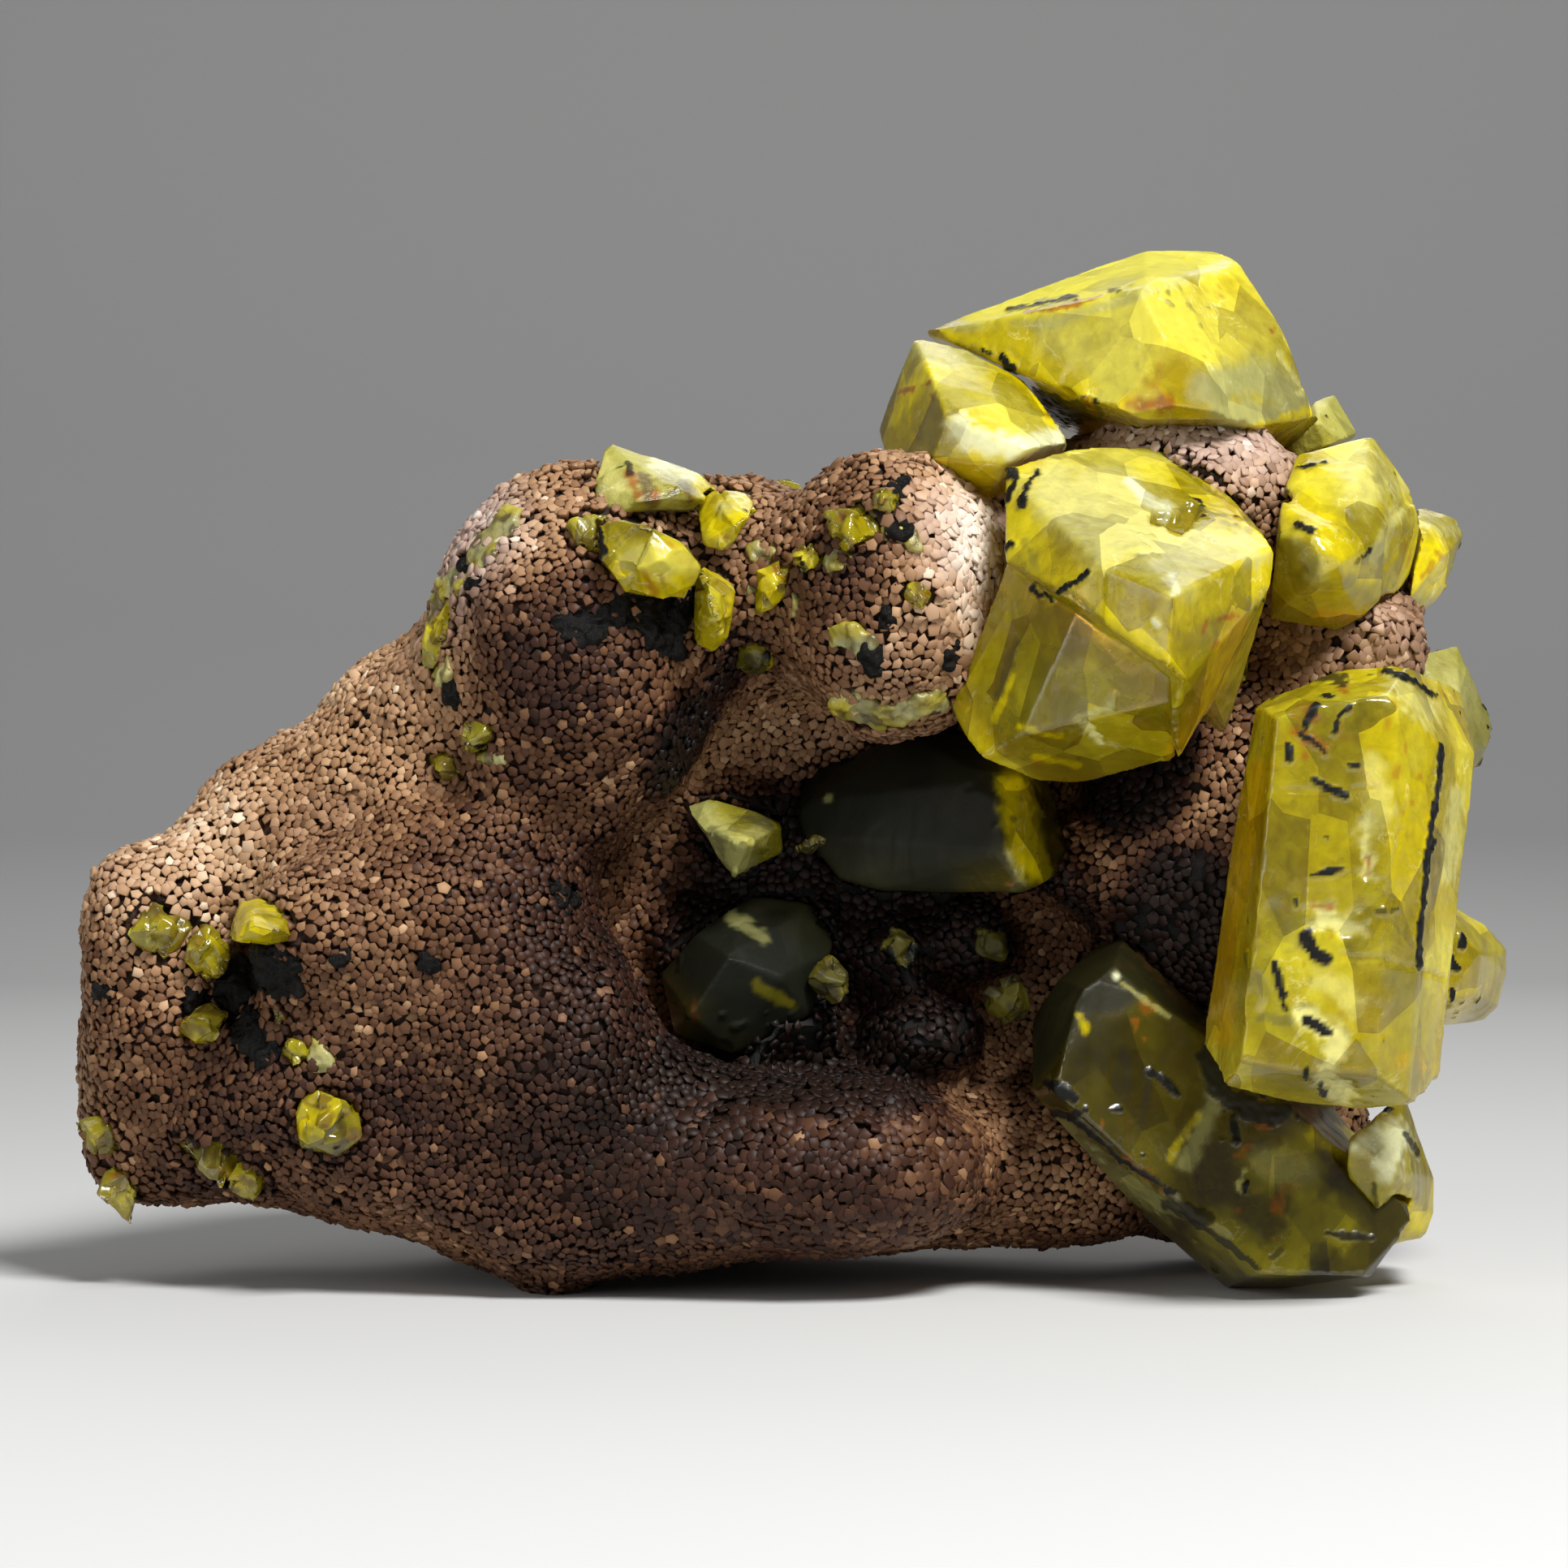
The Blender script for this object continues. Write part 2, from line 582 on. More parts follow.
def aragonite():
    """Tone along u from rusty dark to cream, hue along v from tan over greyish pink to yellow."""
    place, use = new_material("aragonite")
    on_map = place.node("UVMap", {"uv_map": "OFBake"})
    tone = on_map.node("SeparateXYZ", None, {0: on_map})
    hue = on_map.node("SeparateXYZ", None, {0: on_map}, output=1)
    tan = tone.node("ValToRGB", {"stops": [
        (0.00, (0.006, 0.003, 0.002)), (0.22, (0.040, 0.014, 0.007)), (0.42, (0.15, 0.068, 0.030)),
        (0.60, (0.37, 0.205, 0.100)),
        (0.78, (0.58, 0.37, 0.21)), (0.97, (0.82, 0.66, 0.47))]}, {0: tone})
    pink = tone.node("ValToRGB", {"stops": [
        (0.00, (0.006, 0.004, 0.003)), (0.22, (0.040, 0.019, 0.013)), (0.42, (0.14, 0.078, 0.055)),
        (0.60, (0.33, 0.215, 0.165)),
        (0.78, (0.53, 0.39, 0.32)), (0.97, (0.80, 0.70, 0.61))]}, {0: tone})
    yellow = tone.node("ValToRGB", {"stops": [
        (0.00, (0.010, 0.006, 0.002)), (0.42, (0.16, 0.10, 0.018)), (0.70, (0.46, 0.36, 0.085)),
        (0.97, (0.78, 0.70, 0.36))]}, {0: tone})
    colour = hue.rise(0.66, 0.82).blend(hue.rise(0.05, 0.58).blend(tan, pink), yellow)
    return use(place.node("BsdfPrincipled", None, {
        "Base Color": colour, "Roughness": 0.5, "Specular IOR Level": 0.2}))


grain_look = aragonite()
stretches = {"grains_left": x < -40, "grains_shoulder": (x >= -40) & (x < -16),
             "grains_middle": (x >= -16) & (x < 12), "grains_right": x >= 12}
for name, here_in in stretches.items():
    order = np.flatnonzero(here_in)
    meshes = int(np.ceil(len(order) / MOST_GRAINS))
    for number, chosen in enumerate(np.array_split(order, meshes)):
        shown(f"{name}_{number + 1}", grain_mesh(name, chosen), grain_look, "matrix", "matrix")

# ---- Crusts on the matrix ----
# Bitumen dried on the coat in black crumbly patches, and thin frosted skins of sulfur lie on the
# shoulder and the brow. Both are laid over the core in place of the grains.


def patch(paths, thick, above):
    """A closed crust over the core's skin inside the paths. Its top stands above the skin, with
    lumps, and its underside lies below the sunk core."""
    inside = on_paths(skin_points, skin_normals, paths)
    inside *= room_to_crystals(skin_points) > 0.35 * MM
    quads = core_quads[(inside[core_quads] > 0.15).any(1)]
    used, numbers = np.unique(quads, return_inverse=True)
    high = above + 0.25 * MM * noise(skin_points[used], 1.5 * MM, 81)
    top = skin_points[used] + skin_normals[used] * high[:, None]
    mesh = bpy.data.meshes.new("patch")
    mesh.from_pydata(top, [], numbers.reshape(quads.shape))
    return finished(mesh, ("SOLIDIFY", {"thickness": thick, "offset": -1.0}),
                    ("SUBSURF", {"levels": 2, "render_levels": 2}))


def bitumen():
    """Hardened bitumen: black with a dull gloss and a cracked, crumbly skin."""
    place, use = new_material("bitumen")
    crumbs = place.cloud(0.0012, 6, 0.7)
    bump = place.node("Bump", None, {"Strength": 0.9, "Distance": 0.0005, "Height": crumbs})
    return use(place.node("BsdfPrincipled", None, {
        "Base Color": crumbs.rise(0.4, 0.7).blend((0.002, 0.0018, 0.0016), (0.009, 0.008, 0.007)),
        "Roughness": crumbs.rise(0.3, 0.7) * 0.3 + 0.25, "Specular IOR Level": 0.15,
        "Normal": bump}))


bitumen_look = bitumen()
tar_crust = patch(tar_paths, 1.3 * MM, 0.3 * MM)
at, out = array_of(tar_crust.vertices, "co", 3), array_of(tar_crust.vertices, "normal", 3)
crumbled = noise(at, 1.3 * MM, 82) * 0.50 + noise(at, 0.5 * MM, 83) * 0.30
tar_crust.vertices.foreach_set("co", (at + out * (crumbled * MM)[:, None]).ravel())
shown("bitumen_patches", tar_crust, bitumen_look, "bitumen")

# ---- Sulfur crystals ----
# Each crystal is one clear, resin-lustred body of sulfur with worn, chipped edges and faint growth
# steps. It swallows blue light, so it is lemon where thin and amber where deep. Milky veils and
# flaked places send light back, and bitumen was trapped on it while it grew.

# What a mark is: its colour, how far it hides the clear body, its roughness, how far it stands
# out in mm and how ragged its edge is
kinds = {
    "tar": ((0.003, 0.0025, 0.002), 1.5, 0.5, 0.14, 0.45),
    "soot": ((0.006, 0.007, 0.003), 1.5, 0.55, 0.0, 0.3),
    "smoke": ((0.075, 0.072, 0.030), 0.9, 0.2, 0.0, 0.8),
    "rust": ((0.30, 0.085, 0.006), 0.85, 0.2, 0.0, 0.6),
    "umber": ((0.085, 0.040, 0.010), 0.8, 0.25, 0.0, 0.4),
    "groove": ((0.36, 0.27, 0.008), 0.8, 0.25, -0.22, 0.3),
    "amber": ((0.62, 0.36, 0.004), 0.75, 0.14, 0.0, 0.3),
    "olive": ((0.30, 0.255, 0.008), 0.65, 0.16, 0.0, 0.5),
    "lemon": ((0.74, 0.60, 0.002), 0.72, 0.10, 0.0, 0.4),
    "matte": ((0.54, 0.48, 0.06), 0.95, 0.34, 0.0, 0.3),
    "milk": ((0.54, 0.50, 0.15), 0.92, 0.24, 0.0, 0.6),
    "dull": ((0.60, 0.54, 0.03), 1.1, 0.65, 0.0, 0.3),
    "moss": ((0.34, 0.33, 0.11), 0.9, 0.40, 0.0, 0.4),
    "white": ((0.72, 0.72, 0.42), 1.0, 0.16, 0.05, 0.4),
    "flake": ((0.62, 0.58, 0.20), 1.0, 0.22, -0.30, 0.8),
    "pit": ((0.40, 0.31, 0.006), 0.7, 0.12, -0.80, 0.3),
}
# Marks on the front, by crystal: kind, half-width in mm, strength, and points across and up in mm
marks = {
    "crystal_long": [
        ("olive", 9.0, 0.5, [(48.0, 52.0), (47.0, 20.0)]),
        ("olive", 4.0, 1.0, [(42.0, 26.0), (46.0, 19.5), (54.0, 18.0)]),
        ("amber", 1.29, 0.8, [(42.4, 47.0), (41.0, 39.6), (39.8, 33.8), (38.7, 28.1), (39.1, 22.3)]),
        ("olive", 2.58, 0.8, [(55.6, 27.2), (56.2, 19.5)]),
        ("milk", 1.43, 0.5, [(52.7, 47.3), (53.9, 43.6), (52.1, 41.0)]),
        ("milk", 1.43, 0.7, [(55.0, 54.8), (57.9, 52.2)]),
        ("milk", 1.0, 0.8, [(60.6, 44.7), (59.9, 37.3)]),
        ("milk", 1.29, 0.5, [(48.4, 27.5), (51.3, 25.2)]),
        ("flake", 1.15, 0.9, [(47.8, 33.7), (51.6, 32.4)]),
        ("flake", 1.2, 0.8, [(46.7, 24.4), (49.9, 21.5), (48.4, 18.6), (50.1, 16.9)]),
        ("flake", 0.75, 0.8, [(52.1, 41.9), (52.4, 37.3)]),
        ("smoke", 1.15, 0.4, [(44.4, 33.5), (46.1, 31.0)]),
        ("smoke", 0.52, 0.6, [(42.4, 23.9), (45.0, 23.8)]),
        ("rust", 1.15, 0.8, [(46.8, 52.3)]),
        ("rust", 0.63, 0.9, [(45.8, 50.5), (48.4, 49.0)]),
        ("rust", 0.43, 0.8, [(50.1, 54.5)]),
        ("rust", 0.4, 0.8, [(46.6, 48.2)]),
        ("rust", 0.26, 0.8, [(47.3, 34.4), (49.0, 34.3)]),
        ("rust", 0.17, 0.8, [(52.4, 39.0), (52.4, 37.3)]),
        ("groove", 0.11, 0.7, [(42.7, 45.2), (48.4, 45.0), (52.7, 45.3)]),
        ("groove", 0.11, 0.7, [(39.8, 36.7), (41.1, 34.8), (42.1, 35.8)]),
        ("groove", 0.11, 0.7, [(50.1, 29.8), (53.6, 29.5), (56.7, 28.7), (59.6, 27.8)]),
        ("groove", 0.14, 0.5, [(53.9, 29.5), (54.6, 37.8), (55.9, 43.6)]),
        ("tar", 0.63, 0.9, [(43.3, 54.2), (45.0, 55.3), (46.8, 55.9), (49.9, 55.3)]),
        ("tar", 0.32, 1, [(54.0, 56.2), (56.5, 55.1), (58.5, 53.9)]),
        ("tar", 0.26, 1, [(48.3, 53.8), (49.4, 53.8)]),
        ("tar", 0.4, 1, [(47.6, 52.9), (46.8, 52.0), (46.6, 51.0)]),
        ("tar", 0.26, 1, [(50.6, 52.8), (49.7, 52.0)]),
        ("tar", 0.29, 1, [(49.6, 51.5), (49.4, 50.5)]),
        ("tar", 0.29, 1, [(46.0, 50.3), (47.3, 49.7), (48.4, 48.7)]),
        ("tar", 0.4, 1, [(45.1, 49.2), (45.1, 48.0)]),
        ("tar", 0.32, 1, [(50.7, 47.5), (51.6, 47.4)]),
        ("tar", 0.46, 1, [(47.4, 46.2), (48.7, 45.4), (50.3, 44.7)]),
        ("tar", 0.14, 0.9, [(48.0, 41.0), (48.7, 40.8)]),
        ("tar", 0.26, 1, [(47.1, 37.3), (48.4, 37.6), (50.0, 37.9)]),
        ("tar", 0.72, 1, [(46.7, 31.5), (47.4, 30.4), (48.4, 29.5)]),
        ("tar", 0.34, 1, [(43.7, 29.2), (44.1, 27.8), (44.4, 26.4), (44.8, 24.8)]),
        ("tar", 0.4, 1, [(46.7, 23.8), (48.6, 22.8)]),
        ("tar", 0.29, 1, [(46.7, 19.5), (46.8, 18.6)]),
        ("tar", 0.29, 1, [(48.0, 17.6), (48.3, 17.0)]),
        ("tar", 0.2, 1, [(45.7, 35.1), (45.7, 34.5)]),
        ("tar", 0.29, 1, [(59.0, 49.3), (58.9, 45.9), (58.2, 41.9), (57.6, 37.0), (57.0, 32.1),
            (57.0, 28.8)]),
    ],
    "crystal_centre": [
        ("olive", 4.0, 0.6, [(40.0, 60.0), (37.0, 52.0)]),
        ("umber", 2.6, 0.6, [(17.5, 53.5), (20.0, 49.5), (26.0, 47.0)]),
        ("olive", 4.5, 0.75, [(20.1, 62.7), (19.0, 54.8), (25.7, 49.2), (31.3, 48.1)]),
        ("olive", 2.7, 0.5, [(28.0, 60.4), (31.3, 55.9)]),
        ("lemon", 3.15, 0.8, [(26.8, 64.5), (32.5, 59.1)]),
        ("lemon", 2.7, 0.8, [(35.8, 62.2), (42.6, 66.0)]),
        ("amber", 1.35, 0.6, [(40.3, 60.4), (36.9, 52.5), (34.9, 48.7)]),
        ("milk", 3.37, 0.9, [(23.5, 73.2), (28.0, 68.1)]),
        ("milk", 3.82, 0.9, [(28.0, 73.2), (34.7, 66.3)]),
        ("milk", 2.02, 0.9, [(35.8, 68.1), (42.1, 67.4)]),
        ("matte", 1.01, 0.8, [(24.8, 76.4), (34.7, 75.9), (36.9, 75.5)]),
        ("lemon", 1.35, 0.9, [(36.5, 75.3), (40.3, 72.6), (43.2, 68.1)]),
        ("lemon", 2.02, 0.6, [(19.6, 69.9), (21.7, 67.2), (23.9, 64.9)]),
        ("smoke", 0.49, 0.5, [(20.8, 68.1), (21.7, 66.0)]),
        ("pit", 0.79, 1, [(33.1, 70.5), (34.9, 69.6), (36.0, 71.0)]),
        ("white", 0.54, 0.9, [(30.4, 73.7), (31.8, 72.1), (33.8, 71.2)]),
        ("smoke", 0.31, 0.7, [(36.9, 71.2), (40.3, 69.9), (41.9, 70.5)]),
        ("smoke", 0.45, 0.5, [(39.0, 69.9), (41.2, 69.2)]),
        ("white", 0.49, 0.9, [(34.3, 64.9), (34.7, 63.6)]),
        ("white", 0.27, 0.9, [(32.5, 60.8), (32.9, 60.4)]),
        ("smoke", 0.54, 0.7, [(19.9, 58.6), (18.7, 56.1), (18.5, 54.1)]),
        ("lemon", 0.27, 0.9, [(17.8, 51.6), (19.6, 55.7)]),
        ("lemon", 0.31, 0.9, [(20.1, 51.0), (24.1, 50.1)]),
        ("lemon", 0.36, 0.9, [(21.7, 48.1), (25.7, 47.4)]),
        ("flake", 0.36, 0.9, [(28.9, 54.1), (28.4, 52.8), (25.7, 51.6), (27.7, 49.4)]),
        ("rust", 0.56, 0.6, [(21.9, 47.4)]),
        ("rust", 0.22, 0.9, [(22.3, 62.4)]),
        ("rust", 0.27, 0.8, [(25.7, 64.9)]),
        ("rust", 0.2, 0.8, [(37.6, 61.1), (37.2, 59.7)]),
        ("rust", 0.2, 0.8, [(38.7, 60.9), (40.1, 61.3)]),
        ("rust", 0.2, 0.8, [(36.3, 59.5)]),
        ("rust", 0.22, 0.8, [(38.1, 58.4), (38.4, 58.7)]),
        ("groove", 0.09, 0.8, [(19.0, 66.0), (21.2, 64.2), (24.8, 63.3), (28.0, 60.4),
            (31.6, 57.0), (33.8, 56.8), (35.6, 55.0)]),
        ("tar", 0.34, 1, [(19.2, 75.0), (20.0, 73.9), (19.0, 72.1), (18.0, 70.8)]),
        ("tar", 0.49, 1, [(19.1, 74.2)]),
        ("tar", 0.31, 1, [(21.9, 74.4), (20.7, 73.2), (20.5, 71.7)]),
        ("tar", 0.63, 1, [(20.6, 71.8)]),
        ("tar", 0.4, 1, [(19.6, 67.8), (18.6, 67.2)]),
        ("tar", 0.31, 1, [(21.4, 63.7), (22.1, 63.2), (23.2, 63.1), (24.4, 63.9), (25.7, 64.6),
            (26.5, 65.4)]),
        ("tar", 0.31, 1, [(23.2, 62.7)]),
        ("tar", 0.16, 1, [(42.6, 62.7)]),
    ],
    "crystal_top": [
        ("dull", 3.0, 1.0, [(17.0, 89.5), (25.0, 92.0), (33.0, 94.0), (40.0, 95.5)]),
        ("matte", 3.73, 0.9, [(24.5, 86.8), (25.4, 84.2), (29.1, 82.8), (30.0, 89.1)]),
        ("matte", 4.3, 0.6, [(34.9, 89.1), (41.5, 87.1)]),
        ("milk", 0.46, 0.7, [(31.7, 91.1), (39.2, 93.7)]),
        ("moss", 0.57, 0.6, [(13.3, 87.7), (23.4, 88.3), (31.4, 91.1)]),
        ("lemon", 2.58, 0.9, [(18.5, 86.8), (21.9, 83.4), (24.8, 81.9)]),
        ("lemon", 0.75, 0.9, [(27.7, 80.2), (30.5, 81.1)]),
        ("moss", 2.3, 0.95, [(37.7, 82.2), (42.0, 83.4), (45.8, 81.1), (44.3, 79.4), (39.2, 79.9)]),
        ("lemon", 1.0, 0.9, [(41.5, 77.9), (47.2, 79.9)]),
        ("rust", 0.86, 0.9, [(31.1, 80.6), (33.7, 80.9)]),
        ("rust", 0.72, 0.5, [(32.6, 82.8), (33.0, 83.7)]),
        ("rust", 0.34, 0.9, [(43.8, 87.8)]),
        ("flake", 0.4, 0.6, [(44.0, 85.7), (46.3, 82.2)]),
        ("smoke", 0.37, 0.7, [(21.9, 90.0), (25.4, 90.6)]),
        ("rust", 0.11, 0.8, [(20.8, 89.3), (24.8, 89.8), (27.7, 90.8)]),
        ("tar", 0.17, 0.9, [(19.1, 89.6), (22.5, 90.1), (25.4, 90.7)]),
        ("tar", 0.17, 0.8, [(28.5, 91.3), (29.4, 91.4)]),
        ("lemon", 1.15, 0.98, [(18.2, 84.8), (20.8, 82.8), (23.4, 81.1), (24.8, 79.9)]),
        ("lemon", 0.86, 0.9, [(13.3, 87.1), (16.8, 86.5)]),
        ("tar", 0.29, 1, [(16.9, 85.7), (17.9, 85.3)]),
        ("tar", 0.43, 1, [(18.5, 85.0), (19.6, 84.1)]),
        ("tar", 1.15, 0.97, [(22.2, 81.4), (24.5, 79.9), (26.2, 80.5)]),
        ("tar", 0.29, 1, [(27.1, 81.1), (27.7, 79.9)]),
        ("amber", 0.4, 0.8, [(26.5, 81.1), (27.0, 80.2)]),
    ],
    "crystal_tooth": [
        ("matte", 2.58, 0.6, [(13.3, 83.4), (21.4, 78.8)]),
        ("milk", 1.72, 0.8, [(10.7, 86.4), (16.2, 84.8)]),
        ("white", 1.43, 0.9, [(14.5, 78.8), (15.1, 77.6), (19.6, 76.8), (23.7, 77.3)]),
        ("lemon", 0.63, 0.9, [(16.8, 85.7), (20.8, 82.2), (23.4, 79.4)]),
        ("lemon", 0.72, 0.8, [(8.5, 79.4), (11.9, 84.2)]),
        ("lemon", 1.72, 0.9, [(15.6, 75.1), (16.8, 72.8)]),
        ("rust", 0.14, 0.9, [(9.0, 81.7), (11.9, 82.9)]),
        ("rust", 0.46, 0.7, [(22.9, 79.9)]),
        ("rust", 0.14, 0.8, [(11.9, 81.7), (12.3, 81.1)]),
        ("tar", 0.4, 1, [(21.9, 82.2), (23.1, 81.1)]),
    ],
    "crystal_cluster": [
        ("olive", 8.0, 0.4, [(51.0, 68.0)]),
        ("milk", 2.87, 0.7, [(51.0, 75.8), (51.9, 73.5)]),
        ("milk", 1.72, 0.7, [(47.0, 68.0), (48.1, 65.3)]),
        ("milk", 0.77, 0.8, [(55.0, 70.7), (52.9, 66.5)]),
        ("milk", 1.53, 0.5, [(55.8, 73.5)]),
        ("lemon", 2.1, 0.9, [(46.2, 71.4), (49.1, 67.8), (51.0, 64.9)]),
        ("olive", 1.34, 0.7, [(51.0, 64.0), (53.5, 63.0)]),
        ("amber", 0.77, 0.7, [(48.1, 61.3), (51.9, 60.9)]),
        ("smoke", 0.29, 0.6, [(45.1, 68.2)]),
        ("smoke", 0.17, 0.5, [(46.2, 66.1), (47.0, 65.1)]),
        ("smoke", 0.29, 0.4, [(53.1, 73.9)]),
        ("groove", 0.1, 0.6, [(53.9, 69.9), (56.9, 73.0)]),
        ("groove", 0.1, 0.6, [(53.9, 65.7), (57.1, 69.9)]),
        ("tar", 0.38, 1, [(45.9, 69.6), (46.6, 69.3), (47.3, 69.0)]),
        ("tar", 0.29, 1, [(44.5, 72.2), (44.9, 72.7)]),
        ("tar", 0.17, 1, [(51.9, 66.7), (52.5, 67.4)]),
        ("tar", 0.19, 0.7, [(51.3, 66.2)]),
        ("tar", 0.19, 1, [(46.0, 74.8), (48.4, 75.5)]),
    ],
    "crystal_edge": [
        ("lemon", 2.3, 0.9, [(58.4, 66.8), (58.1, 64.9)]),
        ("milk", 0.96, 0.7, [(57.7, 70.1), (60.5, 69.1)]),
        ("rust", 0.17, 0.6, [(58.3, 66.1), (57.5, 64.9)]),
        ("rust", 0.17, 0.6, [(58.8, 67.2), (59.2, 66.5)]),
    ],
    "crystal_low": [
        ("umber", 2.01, 0.8, [(32.0, 31.3), (36.9, 26.2)]),
        ("moss", 1.15, 0.5, [(23.7, 14.4), (29.7, 9.0), (34.3, 6.4)]),
        ("olive", 2.58, 0.9, [(38.3, 4.1), (43.5, 0.1), (46.9, 4.1)]),
        ("olive", 2.58, 0.6, [(42.6, 9.8), (46.9, 11.3)]),
        ("moss", 1.72, 0.5, [(42.9, 11.0), (46.3, 9.8)]),
        ("lemon", 1.58, 0.7, [(48.4, 13.3), (51.2, 12.1), (52.1, 10.4)]),
        ("olive", 2.3, 0.9, [(46.9, 7.0), (49.8, 4.7)]),
        ("moss", 1.09, 0.7, [(38.0, 16.1), (35.7, 11.0)]),
        ("lemon", 0.46, 0.5, [(36.6, 15.0), (34.0, 11.0)]),
        ("lemon", 0.4, 0.9, [(25.8, 24.2), (26.3, 23.0)]),
        ("white", 0.43, 0.9, [(29.2, 28.0)]),
        ("milk", 0.23, 0.5, [(29.7, 27.3), (34.0, 24.2)]),
        ("milk", 0.34, 0.8, [(40.9, 9.8), (40.6, 8.1)]),
        ("rust", 0.34, 0.5, [(29.7, 11.3), (33.7, 8.1)]),
        ("tar", 0.2, 0.9, [(33.7, 28.2)]),
        ("tar", 0.2, 0.9, [(33.9, 27.4)]),
        ("tar", 0.2, 0.9, [(35.2, 27.9)]),
        ("tar", 0.2, 0.9, [(36.0, 25.6)]),
        ("tar", 0.4, 1, [(32.3, 19.1), (34.9, 17.1)]),
        ("tar", 0.57, 1, [(23.0, 17.9), (25.1, 16.7)]),
        ("tar", 0.4, 1, [(23.4, 15.3), (25.7, 15.3)]),
        ("tar", 0.23, 1, [(25.1, 15.0), (29.7, 11.0), (34.4, 8.0)]),
        ("tar", 1.15, 0.9, [(37.7, 20.7), (38.9, 17.3), (41.2, 15.6), (44.0, 15.3)]),
        ("tar", 0.32, 1, [(40.0, 15.0), (40.2, 12.7)]),
        ("tar", 0.23, 0.8, [(38.3, 13.0), (40.0, 12.7)]),
        ("tar", 0.26, 1, [(41.2, 9.0), (40.9, 8.0)]),
        ("tar", 0.63, 0.85, [(34.0, 7.0), (37.7, 5.5)]),
        ("tar", 0.26, 0.9, [(36.0, 5.5), (39.5, 3.2), (42.2, 0.9)]),
        ("tar", 0.29, 0.7, [(43.6, 1.9), (44.3, 2.6)]),
        ("tar", 0.34, 0.9, [(48.6, 4.1), (52.7, 3.8)]),
    ],
    "crystal_low_right": [
        ("olive", 6.0, 0.8, [(54.0, 8.0), (56.0, 14.0)]),
        ("white", 1.58, 0.9, [(52.4, 12.7), (55.0, 13.3), (54.1, 10.4)]),
        ("lemon", 1.43, 0.9, [(55.5, 7.0), (57.0, 5.2)]),
        ("olive", 1.43, 0.7, [(52.1, 7.5), (53.2, 5.2)]),
        ("tar", 0.34, 1, [(53.7, 16.6), (54.7, 17.3)]),
        ("tar", 0.26, 1, [(52.7, 15.8), (54.7, 15.6)]),
        ("tar", 0.23, 0.9, [(55.8, 13.3), (57.0, 11.5)]),
        ("tar", 0.23, 0.8, [(52.9, 8.7), (53.2, 7.0)]),
    ],
    "crystal_hollow": [
        ("soot", 8.21, 0.95, [(-0.8, 46.6), (14.7, 42.8)]),
        ("soot", 3.79, 0.95, [(2.4, 49.1), (15.0, 49.1)]),
        ("lemon", 1.89, 0.9, [(19.7, 45.6), (21.3, 38.3)]),
        ("moss", 0.44, 0.8, [(2.5, 44.3)]),
        ("soot", 0.44, 0.7, [(19.7, 42.5)]),
        ("milk", 0.44, 0.5, [(19.4, 39.3), (20.4, 36.8)]),
    ],
    "crystal_hollow_low": [
        ("soot", 9.0, 0.96, [(-9.0, 31.0), (-1.0, 26.0)]),
        ("moss", 0.7, 0.5, [(-6.5, 33.5), (-3.5, 31.5)]),
        ("olive", 0.6, 0.4, [(-4.0, 27.0), (-1.0, 25.5)]),
    ],
    "crystal_hollow_left": [
        ("olive", 5.0, 0.7, [(-8.0, 42.0), (-3.0, 40.5)]),
        ("umber", 0.8, 0.8, [(-9.5, 41.5), (-7.2, 38.8)]),
        ("moss", 1.89, 0.8, [(-9.6, 43.4), (-5.8, 38.7)]),
        ("milk", 1.58, 0.6, [(-4.2, 40.9)]),
        ("smoke", 0.38, 0.7, [(-5.8, 42.8), (-2.7, 41.8)]),
        ("white", 0.82, 0.9, [(1.8, 39.6)]),
        ("smoke", 0.57, 0.6, [(-8.4, 41.2), (-7.1, 39.6)]),
    ],
    "crystal_ridge": [
        ("lemon", 1.88, 0.6, [(-17.2, 63.8), (-11.9, 63.8)]),
        ("matte", 1.61, 0.7, [(-15.9, 67.0), (-10.5, 66.0)]),
        ("rust", 0.64, 0.7, [(-14.3, 64.6), (-13.5, 63.3)]),
        ("tar", 0.46, 1, [(-18.9, 69.2), (-18.2, 67.3), (-19.4, 66.0)]),
        ("groove", 0.13, 0.6, [(-13.0, 64.9), (-12.2, 62.8)]),
        ("smoke", 0.38, 0.5, [(-17.0, 68.1)]),
    ],
    "crystal_ridge_left": [
        ("matte", 1.34, 0.8, [(-19.9, 70.8), (-18.3, 70.0)]),
        ("tar", 0.35, 1, [(-20.2, 67.7)]),
        ("rust", 0.32, 0.7, [(-20.9, 67.6)]),
    ],
    "crystal_ridge_hood": [
        ("milk", 1.07, 0.6, [(-18.3, 75.1), (-17.2, 73.2)]),
        ("olive", 1.6, 0.9, [(-12.0, 73.5), (-9.5, 72.6)]),
        ("umber", 0.8, 0.8, [(-14.6, 73.9), (-13.9, 71.6)]),
        ("umber", 0.5, 0.8, [(-10.8, 73.6), (-10.2, 72.0)]),
        ("rust", 0.59, 0.8, [(-15.9, 74.5), (-15.1, 72.4)]),
        ("white", 1.07, 0.8, [(-13.0, 75.6), (-9.7, 74.3)]),
        ("lemon", 1.21, 0.7, [(-8.9, 73.2), (-8.1, 72.4)]),
        ("rust", 0.43, 0.6, [(-13.5, 72.4)]),
        ("smoke", 0.64, 0.6, [(-11.6, 72.7)]),
        ("tar", 0.32, 0.9, [(-16.0, 75.3), (-15.8, 74.5)]),
    ],
    "crystal_ridge_block": [
        ("milk", 0.8, 0.7, [(-7.3, 71.1), (-5.5, 71.9)]),
        ("lemon", 1.34, 0.8, [(-7.9, 69.5), (-6.0, 70.0)]),
    ],
}

